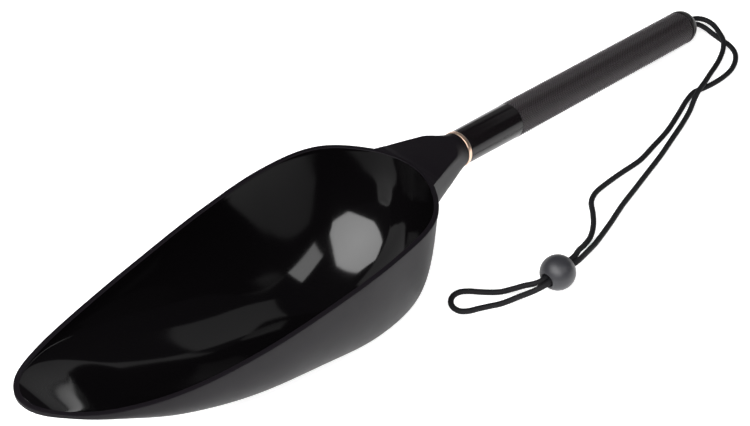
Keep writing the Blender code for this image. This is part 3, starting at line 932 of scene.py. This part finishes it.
@dataclass
class Handle:
    """The knurled tube with its front plug and its domed butt cap."""

    radius: float = NECK_RADIUS
    bore: float = 10.5 * MM
    front: float = RING_HALF + GAP  # start of the tube, behind the collar ring
    grip_start: float = 54.5 * MM
    taper_radius: float = 12.4 * MM  # where the plain front has widened to meet the grip
    grip_end: float = 258.0 * MM
    tube_end: float = 259.0 * MM
    groove_radius: float = 12.10 * MM
    knurl_height: float = 0.80 * MM
    knurl_around: int = 38      # diamonds round the tube, about 2 mm each
    knurl_pitch: float = 2.05 * MM
    cap_radius: float = 12.7 * MM
    spigot: float = 10.15 * MM
    plug_end: float = 24.0 * MM
    spigot_start: float = 247.0 * MM
    cord_hole: float = 4.7 * MM
    butt_end: float = 268.5 * MM
    edge: float = 0.4 * MM      # rounding of turned edges
    sides: int = 128

    def tube(self) -> bpy.types.Object:
        """Turn the tube with a shallow recess where the knurling is rolled."""
        recess = self.groove_radius - 0.25 * MM
        edge, end_edge = self.edge, 0.3 * MM
        outline = [(self.bore, self.front), (self.radius - edge, self.front)]
        outline += arc((self.radius - edge, self.front + edge), (edge, edge), -90, 0, 5)
        outline += [(self.taper_radius, self.grip_start - edge), (recess, self.grip_start),
                    (recess, self.grip_end), (self.groove_radius, self.grip_end + 0.2 * MM)]
        outline += arc((self.groove_radius - end_edge, self.tube_end - end_edge),
                       (end_edge, end_edge), 0, 90, 4)
        outline += [(self.bore, self.tube_end)]
        return turned("handle_tube_body", outline, self.sides)

    def knurling(self) -> bpy.types.Object:
        """Roll the diamonds: poke a sleeve's squares, dissolve their edges, raise each diamond."""
        lap = 0.15 * MM
        start, end = self.grip_start - lap, self.grip_end + lap
        rows = round((end - start) / self.knurl_pitch)
        turn = np.linspace(0.0, 2 * math.pi, self.knurl_around + 1)[None, :]
        height = np.linspace(start, end, rows + 1)[:, None]
        sheet = np.broadcast_arrays(self.groove_radius * np.cos(turn),
                                    self.groove_radius * np.sin(turn), height)
        piece = laid_grid("grip_knurling", np.stack(sheet, axis=2))
        sew(piece)
        with editing(piece) as builder:
            corners = {vertex.index for vertex in builder.verts}
            bpy.ops.mesh.select_all(action="SELECT")
            bpy.ops.mesh.poke(offset=0.0)
            builder = bmesh.from_edit_mesh(piece.data)
            bpy.ops.mesh.select_all(action="DESELECT")
            bpy.ops.mesh.select_mode(type="EDGE")
            pick(builder, piece, [edge for edge in builder.edges if not edge.is_boundary
                                  and all(vertex.index in corners for vertex in edge.verts)])
            bpy.ops.mesh.dissolve_edges(use_verts=False)
        self.true_up(piece)
        with editing(piece) as builder:
            pick(builder, piece, [face for face in builder.faces if len(face.verts) == 4])
            bpy.ops.mesh.poke(offset=self.knurl_height)
        self.close_sleeve(piece)
        return piece

    def true_up(self, piece: bpy.types.Object) -> None:
        """Bring every groove crossing out to the groove's radius."""
        for vertex in piece.data.vertices:
            share = self.groove_radius / math.hypot(vertex.co.x, vertex.co.y)
            vertex.co.x *= share
            vertex.co.y *= share

    def close_sleeve(self, piece: bpy.types.Object) -> None:
        """Close the knurled sheet into a ring: draw its ends inwards and bridge them."""
        with editing(piece, "EDGE") as builder:
            pick(builder, piece, [edge for edge in builder.edges if edge.is_boundary])
            bpy.ops.mesh.extrude_region_move()
            shrink = (self.bore + 1.2 * MM) / self.groove_radius
            bpy.ops.transform.resize(value=(shrink, shrink, 1.0))
            bpy.ops.mesh.bridge_edge_loops()
        sew(piece)

    def plug(self) -> bpy.types.Object:
        """Turn the plug that carries the stud in the tube's front end."""
        return turned("stud_plug", sleeve(STUD_HOLE, self.spigot, self.front + GAP, self.plug_end,
                                          self.edge), 96)

    def cap(self) -> bpy.types.Object:
        """Turn the butt cap: spigot, short skirt, dome and a rounded mouth for the cord."""
        shoulder = self.tube_end + GAP
        dome_start = shoulder + 0.5 * MM
        edge, skirt_edge, mouth = self.edge, 0.25 * MM, 0.9 * MM
        outline = [(self.cord_hole, self.spigot_start + edge),
                   (self.cord_hole + edge, self.spigot_start),
                   (self.spigot - edge, self.spigot_start),
                   (self.spigot, self.spigot_start + edge), (self.spigot, shoulder)]
        outline += arc((self.cap_radius - skirt_edge, shoulder + skirt_edge),
                       (skirt_edge, skirt_edge), -90, 0, 4)
        outline += arc((self.cord_hole + mouth, dome_start),
                       (self.cap_radius - self.cord_hole - mouth, self.butt_end - dome_start),
                       0, 90, 24)
        outline += arc((self.cord_hole + mouth, self.butt_end - mouth), (mouth, mouth), 100, 180, 6)
        return turned("butt_cap_dome", outline, self.sides)

    def build(self, polished: AnodisedAluminium, knurled: AnodisedAluminium,
              capped: AnodisedAluminium, bare: TurnedMetal) -> None:
        """Build, place and dress the handle's pieces.

        Args:
            polished: Finish of the plain tube.
            knurled: Finish of the knurling.
            capped: Finish of the butt cap.
            bare: Finish of the plug.
        """
        for piece, finish, slot, node, crease in (
                (self.tube(), polished, Slot.TUBE, "handle_tube", 25.0),
                (self.knurling(), knurled, Slot.TUBE, "handle_tube", 12.0),
                (self.plug(), bare, Slot.PLUG, "front_plug", 32.0),
                (self.cap(), capped, Slot.CAP, "butt_cap", 32.0)):
            settle(piece, HANDLE_FRAME)
            piece.data.materials.append(finish.build())
            smooth(piece, crease)
            hand_over(piece, Body.HANDLE, slot, node)


# --- lanyard ---------------------------------------------------------------------------------
@dataclass
class Lanyard:
    """The doubled wrist cord, knotted inside the tube, with a bead that slides on it."""

    cord_radius: float = 2.0 * MM
    spread: float = 2.15 * MM   # each strand's distance from the cap's axis
    in_cap: tuple[float, ...] = (0.2470, 0.2590, 0.2685)
    beside_bead: tuple[float, ...] = (-0.0180, -0.0060, 0.0060, 0.0125)
    bead_centre: tuple[float, float, float] = (0.0392, -0.0890, 0.0120)
    bead_heading: float = math.radians(176.0)  # from the handle side to the loop side
    bead_radius: float = 12.0 * MM
    bead_hole: float = 4.9 * MM
    bead_mouth: float = 10.4 * MM  # half the bead's length between its mouths
    knot_height: float = 240.85 * MM  # middle of the stopper knot, in the handle frame
    knot_lobe: float = 1.72 * MM  # a third of the knot's reach from its middle
    knot_rise: float = 3.1 * MM  # how far its strands pass over and under
    knot_steps: int = 144
    ring_step: float = 0.55 * MM
    cord_sides: int = 32
    strands: int = 8            # braid cells round the cord
    cell: float = 2.2 * MM      # length of a braid cell
    relief: float = 0.16 * MM   # how far the strands stand proud
    path_points: int = 290      # points of the cord's centreline
    to_bead: tuple = (
        (0.3135, 0.0018, 0.0096), (0.3182, -0.0008, 0.0087), (0.3213, -0.0055, 0.0076),
        (0.3213, -0.0122, 0.0068), (0.3167, -0.0207, 0.0069), (0.3121, -0.0279, 0.0061),
        (0.3062, -0.0325, 0.0040), (0.2995, -0.0354, 0.0024), (0.2893, -0.0386, 0.0022),
        (0.2801, -0.0410, 0.0030), (0.2725, -0.0435, 0.0049), (0.2635, -0.0463, 0.0066),
        (0.2560, -0.0479, 0.0068), (0.2490, -0.0495, 0.0063), (0.2415, -0.0517, 0.0042),
        (0.2340, -0.0543, 0.0024), (0.2190, -0.0585, 0.0021), (0.2010, -0.0626, 0.0021),
        (0.1817, -0.0669, 0.0021), (0.1624, -0.0703, 0.0021), (0.1432, -0.0737, 0.0021),
        (0.1244, -0.0770, 0.0021), (0.1066, -0.0812, 0.0021), (0.0947, -0.0837, 0.0022),
        (0.0827, -0.0863, 0.0033), (0.0737, -0.0884, 0.0060), (0.0645, -0.0908, 0.0096))
    wrist_loop: tuple = (
        (0.0190, -0.0874, 0.0104), (0.0150, -0.0837, 0.0076), (0.0110, -0.0797, 0.0048),
        (0.0062, -0.0763, 0.0028), (0.0004, -0.0732, 0.0021), (-0.0060, -0.0691, 0.0021),
        (-0.0122, -0.0652, 0.0021), (-0.0181, -0.0617, 0.0021), (-0.0219, -0.0575, 0.0021),
        (-0.0224, -0.0522, 0.0021), (-0.0198, -0.0477, 0.0021), (-0.0149, -0.0454, 0.0021),
        (-0.0095, -0.0464, 0.0021), (-0.0050, -0.0503, 0.0021), (-0.0010, -0.0557, 0.0021),
        (0.0035, -0.0616, 0.0022), (0.0080, -0.0671, 0.0030), (0.0132, -0.0727, 0.0056),
        (0.0181, -0.0786, 0.0090), (0.0219, -0.0834, 0.0112))
    to_cap: tuple = (
        (0.0662, -0.0852, 0.0092), (0.0747, -0.0831, 0.0058), (0.0860, -0.0798, 0.0031),
        (0.0968, -0.0738, 0.0021), (0.1054, -0.0666, 0.0021), (0.1135, -0.0589, 0.0021),
        (0.1223, -0.0556, 0.0021), (0.1350, -0.0556, 0.0021), (0.1507, -0.0569, 0.0021),
        (0.1687, -0.0588, 0.0021), (0.1858, -0.0572, 0.0021), (0.2053, -0.0550, 0.0021),
        (0.2233, -0.0508, 0.0021), (0.2430, -0.0456, 0.0021), (0.2528, -0.0445, 0.0021),
        (0.2599, -0.0467, 0.0021), (0.2694, -0.0492, 0.0021), (0.2814, -0.0507, 0.0021),
        (0.2929, -0.0499, 0.0021), (0.3034, -0.0458, 0.0021), (0.3099, -0.0404, 0.0021),
        (0.3141, -0.0324, 0.0021), (0.3153, -0.0243, 0.0021), (0.3162, -0.0158, 0.0031),
        (0.3155, -0.0092, 0.0056), (0.3118, -0.0042, 0.0088))

    def strand_in_cap(self, side: int, height: float) -> Vector:
        """Place of a strand, +1 or -1, where it runs straight inside the cap."""
        return HANDLE_FRAME @ Vector((0.0, side * self.spread, height))

    def strand_in_bead(self, side: int, run: float) -> Vector:
        """Place of a strand, +1 or -1, beside the bead's axis; run grows towards the loop."""
        heading = Vector((math.cos(self.bead_heading), math.sin(self.bead_heading), 0.0))
        across = Vector((-heading.y, heading.x, 0.0))
        return Vector(self.bead_centre) + heading * run + across * side * self.spread

    def route(self) -> list[Vector]:
        """Route points from one end in the cap, through the bead, round the loop and back."""
        points = [self.strand_in_cap(1, height) for height in self.in_cap]
        points += [Vector(point) for point in self.to_bead]
        points += [self.strand_in_bead(1, run) for run in self.beside_bead]
        points += [Vector(point) for point in self.wrist_loop]
        points += [self.strand_in_bead(-1, run) for run in reversed(self.beside_bead)]
        points += [Vector(point) for point in self.to_cap]
        return points + [self.strand_in_cap(-1, height) for height in reversed(self.in_cap)]

    def cord(self) -> tuple[bpy.types.Object, np.ndarray, float]:
        """Braid the cord along its route.

        Returns:
            The closed mesh tube, its centreline and its length.
        """
        line = smooth_line(self.route())
        length = line_length(line)
        centre = even_line(line, round(length / self.ring_step) + 1)
        places = self.braided(centre, length)
        piece = laid_grid("braided_cord", places)
        cap_ends(piece)
        return piece, centre, length

    def braided(self, centre: np.ndarray, length: float) -> np.ndarray:
        """Rings round a line, with two sets of strands that pass over and under each other.

        Args:
            centre: Points along the line.
            length: The line's length.

        Returns:
            Rings by sides by three coordinates.
        """
        side, up = carried_frame(centre)
        around = np.linspace(0.0, 1.0, self.cord_sides + 1)[None, :]
        along = np.linspace(0.0, length / self.cell, len(centre))[:, None]
        right, left = along + around * self.strands, along - around * self.strands
        lower = (np.floor(right) + np.floor(left)) % 2
        over = np.where(lower > 0, np.sin(math.pi * (right % 1.0)), np.sin(math.pi * (left % 1.0)))
        crown = np.where(lower > 0, np.sin(math.pi * (left % 1.0)), np.sin(math.pi * (right % 1.0)))
        bump = np.sqrt(np.abs(over)) * (0.6 + 0.4 * crown)
        radius = self.cord_radius - self.relief + self.relief * bump
        turn = 2 * math.pi * around
        return (centre[:, None, :] + side[:, None, :] * (radius * np.cos(turn))[:, :, None]
                + up[:, None, :] * (radius * np.sin(turn))[:, :, None])

    def knot(self) -> bpy.types.Object:
        """Tie the stopper knot inside the tube: a trefoil of cord, closed on itself."""
        turn = np.linspace(0.0, 2 * math.pi, self.knot_steps + 1)
        across, rise = self.knot_lobe, self.knot_rise
        centre = np.stack([across * (np.sin(turn) + 2 * np.sin(2 * turn)),
                           across * (np.cos(turn) - 2 * np.cos(2 * turn)),
                           self.knot_height - rise * np.sin(3 * turn)], axis=1)
        tight = Lanyard(cord_radius=self.cord_radius - 0.05 * MM, cord_sides=24)
        places = tight.braided(centre, line_length(centre))
        places[-1] = places[0]
        piece = laid_grid("stopper_knot", places)
        sew(piece, 1e-5)
        return piece

    def bead(self) -> bpy.types.Object:
        """Turn the bead: a ball with a bore, flat mouths and rounded mouth edges."""
        ease = 0.7 * MM
        reach = math.degrees(math.asin(self.bead_mouth / self.bead_radius)) - 3.0
        outline = [(self.bead_hole, -self.bead_mouth + ease)]
        outline += arc((self.bead_hole + ease, -self.bead_mouth + ease), (ease, ease), 200, 270, 5)
        outline += arc((0.0, 0.0), (self.bead_radius, self.bead_radius), -reach, reach, 48)
        outline += arc((self.bead_hole + ease, self.bead_mouth - ease), (ease, ease), 90, 180, 6)
        return turned("cord_bead_ball", outline, 96)

    def build(self, braid: BraidedCord, plastic: MouldedPlastic) -> None:
        """Args:
            braid: Finish of the cord and its knot.
            plastic: Finish of the bead.
        """
        cord, centre, length = self.cord()
        finish = braid.build(length / self.cell, self.strands)
        soft = 80.0             # only the cut ends are crisp
        cord.data.materials.append(finish)
        smooth(cord, soft)
        hand_over(cord, Body.HANDLE, Slot.CORD, "lanyard_cord")
        knot = self.knot()
        settle(knot, HANDLE_FRAME)
        knot.data.materials.append(finish)
        smooth(knot, soft)
        hand_over(knot, Body.HANDLE, Slot.CORD, "lanyard_knot")
        bead = self.bead()
        turn = Matrix.Rotation(self.bead_heading, 4, "Z") @ Matrix.Rotation(math.pi / 2, 4, "Y")
        settle(bead, Matrix.Translation(self.bead_centre) @ turn)
        bead.data.materials.append(plastic.build())
        smooth(bead)
        hand_over(bead, Body.BEAD, Slot.BEAD, "cord_bead")
        log.info("lanyard cord is %.3f m long", length)


def smooth_line(route: list[Vector], steps: int = 12) -> np.ndarray:
    """Dense points on a centripetal curve through a route.

    Args:
        route: The points to pass through.
        steps: Points in each stretch.

    Returns:
        The dense points.
    """
    ends = [2 * route[0] - route[1], *route, 2 * route[-1] - route[-2]]
    dense = []
    for before, start, end, after in zip(ends, ends[1:], ends[2:], ends[3:]):
        first = (start - before).length ** 0.5
        middle = (end - start).length ** 0.5
        last = (after - end).length ** 0.5
        start_slope = ((start - before) / first - (end - before) / (first + middle)
                       + (end - start) / middle) * middle
        end_slope = ((end - start) / middle - (after - start) / (middle + last)
                     + (after - end) / last) * middle
        for t in np.arange(steps) / steps:
            dense.append(start * (1 + 2 * t) * (1 - t) ** 2 + start_slope * t * (1 - t) ** 2
                         + end * t * t * (3 - 2 * t) + end_slope * t * t * (t - 1))
    return np.array([*dense, route[-1]])


def line_length(line: np.ndarray) -> float:
    """Length of a line of points."""
    return float(np.linalg.norm(np.diff(line, axis=0), axis=1).sum())


def even_line(line: np.ndarray, count: int) -> np.ndarray:
    """Points at equal distances along a line.

    Args:
        line: Dense points along it.
        count: How many points to return.

    Returns:
        The points, both ends included.
    """
    reach = np.concatenate([[0.0], np.cumsum(np.linalg.norm(np.diff(line, axis=0), axis=1))])
    want = np.linspace(0.0, reach[-1], count)
    return np.stack([np.interp(want, reach, line[:, axis]) for axis in range(3)], axis=1)


def carried_frame(line: np.ndarray) -> tuple[np.ndarray, np.ndarray]:
    """Two directions square to a line, carried along it without twist.

    Args:
        line: Points along it.

    Returns:
        The two unit directions at each point.
    """
    ahead = np.gradient(line, axis=0)
    ahead /= np.linalg.norm(ahead, axis=1)[:, None]
    side = np.empty_like(ahead)
    start = np.cross(ahead[0], (0.0, 1.0, 0.3))
    side[0] = start / np.linalg.norm(start)
    for i in range(1, len(line)):
        carried = side[i - 1] - ahead[i] * (side[i - 1] @ ahead[i])
        side[i] = carried / np.linalg.norm(carried)
    return side, np.cross(ahead, side)


# --- studio ----------------------------------------------------------------------------------
@dataclass
class Studio:
    """A pale floor, soft lights and the camera."""

    camera_place: tuple[float, float, float] = (-0.57374, -0.54681, 0.82855)
    camera_turn: float = math.radians(-44.43)
    camera_rise: float = math.radians(44.87)
    camera_roll: float = math.radians(-3.16)
    lens: float = 81.6          # millimetres, on a 36 mm wide sensor
    floor_radius: float = 4.0
    floor_glow: float = 0.65    # the floor is a lit white table
    bowl_heart: tuple[float, float, float] = (-0.040, 0.020, 0.030)

    def add_camera(self) -> None:
        """Set up the camera at the product view."""
        data = bpy.data.cameras.new("product_camera")
        data.lens, data.sensor_width, data.sensor_fit = self.lens, 36.0, "HORIZONTAL"
        data.clip_start = 0.01
        camera = bpy.data.objects.new("product_camera", data)
        bpy.context.scene.collection.objects.link(camera)
        camera.matrix_world = (Matrix.Translation(self.camera_place)
                               @ Matrix.Rotation(self.camera_turn, 4, "Z")
                               @ Matrix.Rotation(math.pi / 2 - self.camera_rise, 4, "X")
                               @ Matrix.Rotation(self.camera_roll, 4, "Z"))
        bpy.context.scene.camera = camera

    def add_floor(self) -> None:
        """Lay a round white table top, lit from within."""
        select_only(None)
        bpy.ops.mesh.primitive_circle_add(vertices=96, radius=self.floor_radius, fill_type="NGON",
                                          location=(0.0, 0.0, -0.2 * MM))
        floor = bpy.context.object
        floor.name = floor.data.name = "studio_floor"
        made, _ = new_material("white_acrylic", {"Base Color": linear("#f4f4f4"), "Roughness": 0.9,
                                                 "Emission Color": linear("#ffffff"),
                                                 "Emission Strength": self.floor_glow})
        floor.data.materials.append(made)

    def seen_from_bowl(self, azimuth: float, elevation: float, distance: float) -> Matrix:
        """Frame of a light that hangs in some direction and faces the bowl.

        Args:
            azimuth: Its direction from the bowl, in degrees from +X towards +Y.
            elevation: Its height above the horizon, in degrees.
            distance: Its distance, in metres.

        Returns:
            The light's frame, with -Z towards the bowl.
        """
        turn, rise = math.radians(azimuth), math.radians(elevation)
        away = Vector((math.cos(turn) * math.cos(rise), math.sin(turn) * math.cos(rise),
                       math.sin(rise)))
        facing = (-away).to_track_quat("-Z", "Y").to_matrix().to_4x4()
        return Matrix.Translation(Vector(self.bowl_heart) + away * distance) @ facing

    def add_softbox(self, name: str, place: Matrix, size: tuple[float, float],
                    radiance: float) -> None:
        """Hang one soft rectangular light.

        Args:
            name: The light's name.
            place: Its frame.
            size: Its width and height.
            radiance: How bright its face is; the white floor is about 1.
        """
        data = bpy.data.lights.new(name, "AREA")
        data.shape, data.size, data.size_y = "RECTANGLE", *size
        data.energy = radiance * math.pi * size[0] * size[1]
        light = bpy.data.objects.new(name, data)
        bpy.context.scene.collection.objects.link(light)
        light.visible_camera = False
        light.matrix_world = place

    def add_octabox(self, place: Matrix, reach: tuple[float, float], roll: float,
                    radiance: tuple[float, float]) -> None:
        """Hang the long eight-sided softbox, brighter in the middle of its cloth.

        Args:
            place: Its frame.
            reach: From its middle to its far and near corners.
            roll: Its turn in its own plane, in degrees.
            radiance: How bright its cloth is at the rim and in the middle.
        """
        select_only(None)
        bpy.ops.mesh.primitive_circle_add(vertices=8, radius=1.0, fill_type="NGON")
        box = bpy.context.object
        for vertex in box.data.vertices:
            vertex.co.x *= reach[0]
            vertex.co.y *= reach[1]
        box.name = box.data.name = "octabox_cloth"
        box.data.flip_normals()
        made = bpy.data.materials.new("octabox_diffuser")
        made.use_nodes = True
        made.node_tree.nodes.remove(made.node_tree.nodes["Principled BSDF"])
        where = add_node(made, "TexCoord").outputs["Object"]
        away = add_node(made, "VectorMath", {"operation": "LENGTH"}, {0: where}).outputs["Value"]
        glow = add_node(made, "MapRange", {"From Max": reach[0], "To Min": radiance[1],
                                           "To Max": radiance[0]}, {"Value": away})
        front = add_node(made, "Emission", {}, {"Strength": glow.outputs["Result"]})
        link_inputs(made, made.node_tree.nodes["Material Output"], {"Surface": front.outputs[0]})
        box.data.materials.append(made)
        box.matrix_world = place @ Matrix.Rotation(math.radians(roll), 4, "Z")
        box.visible_camera = False

    def add_surroundings(self) -> None:
        """Set a dim room that the camera sees as plain white."""
        world = bpy.data.worlds.new("studio_room")
        world.use_nodes = True
        bpy.context.scene.world = world
        tree = world.node_tree
        path = tree.nodes.new("ShaderNodeLightPath")
        room = tree.nodes["Background"]
        mix = tree.nodes.new("ShaderNodeMix")
        mix.data_type = "RGBA"
        mix.inputs[6].default_value = (0.020, 0.020, 0.022, 1.0)
        mix.inputs[7].default_value = (1.0, 1.0, 1.0, 1.0)
        tree.links.new(path.outputs["Is Camera Ray"], mix.inputs[0])
        tree.links.new(mix.outputs[2], room.inputs["Color"])
        bpy.context.scene.view_settings.view_transform = "Standard"

    def build(self) -> None:
        """Build the floor, the lights and the room; the camera is set up first, apart."""
        self.add_floor()
        self.add_surroundings()
        self.add_octabox(self.seen_from_bowl(-161.0, 57.0, 0.95), (1.0, 0.40), -24.0, (5.0, 6.5))
        self.add_softbox("side_softbox", self.seen_from_bowl(-74.0, 43.0, 0.95), (0.42, 0.42), 2.7)
        self.add_softbox("backdrop_glow", self.seen_from_bowl(34.0, 14.0, 1.5), (0.9, 0.6), 0.22)
        self.add_softbox("strip_softbox", self.seen_from_bowl(-2.0, 32.0, 1.5), (0.9, 0.26), 0.28)


def main() -> None:
    """Build every sub-assembly in order."""
    logging.basicConfig(level=logging.INFO, format="%(message)s")
    studio = Studio()
    studio.add_camera()
    Lanyard().build(
        # matt filaments: the cord stays black, with only its crowns a little paler
        BraidedCord("braided_polyester", "#08080a", "#141317"),
        # moulded in a blasted tool: an even grey sheen with no sharp reflection
        MouldedPlastic("satin_moulded_bead", "#2b2b2f", (0.38, 0.5), 0.5 * MM, 0.02 * MM))
    ScoopBowl().build(
        # off a spark-eroded cavity: soft, slightly grey light with no edges in it
        MouldedPlastic("spark_eroded_moulding", "#0f0c10", (0.42, 0.52), 0.45 * MM, 0.035 * MM,
                       sheen=0.12),
        # off a polished core: near-black, with the studio's lamps mirrored in it
        MouldedPlastic("polished_moulding", "#070607", (0.07, 0.11), 3.0 * MM, 0.002 * MM,
                       swell=0.05 * MM))
    HandleJoint().build(
        # cut on a lathe: bright, with fine rings that draw the light out round the axis
        TurnedMetal("turned_brass", "#c9a25a", (0.22, 0.34)),
        TurnedMetal("polished_copper", "#f0cfb8", (0.26, 0.38)),
        TurnedMetal("zinc_plated_steel", "#b9bbbf", (0.25, 0.4)))
    Handle().build(
        # bright-dipped and dyed: one long clean highlight along the tube
        AnodisedAluminium("gloss_black_anodised", "#0b090a", "#131012", (0.14, 0.22),
                          metallic=0.1, ior=1.45),
        # rolled diamonds: a painted highlight makes every crest paler than its groove, so the grip
        # looks grey
        AnodisedAluminium("knurled_black_anodised", "#0a0708", "#120d0f", (0.34, 0.42),
                          crest="#4b4146"),
        # dyed over an etched surface: a wide dull highlight on the dome
        AnodisedAluminium("black_anodised_cap", "#0f0c0d", "#191517", (0.34, 0.44)),
        TurnedMetal("turned_aluminium", "#c4c5c8", (0.25, 0.4)))
    studio.build()


if __name__ == "__main__":
    main()
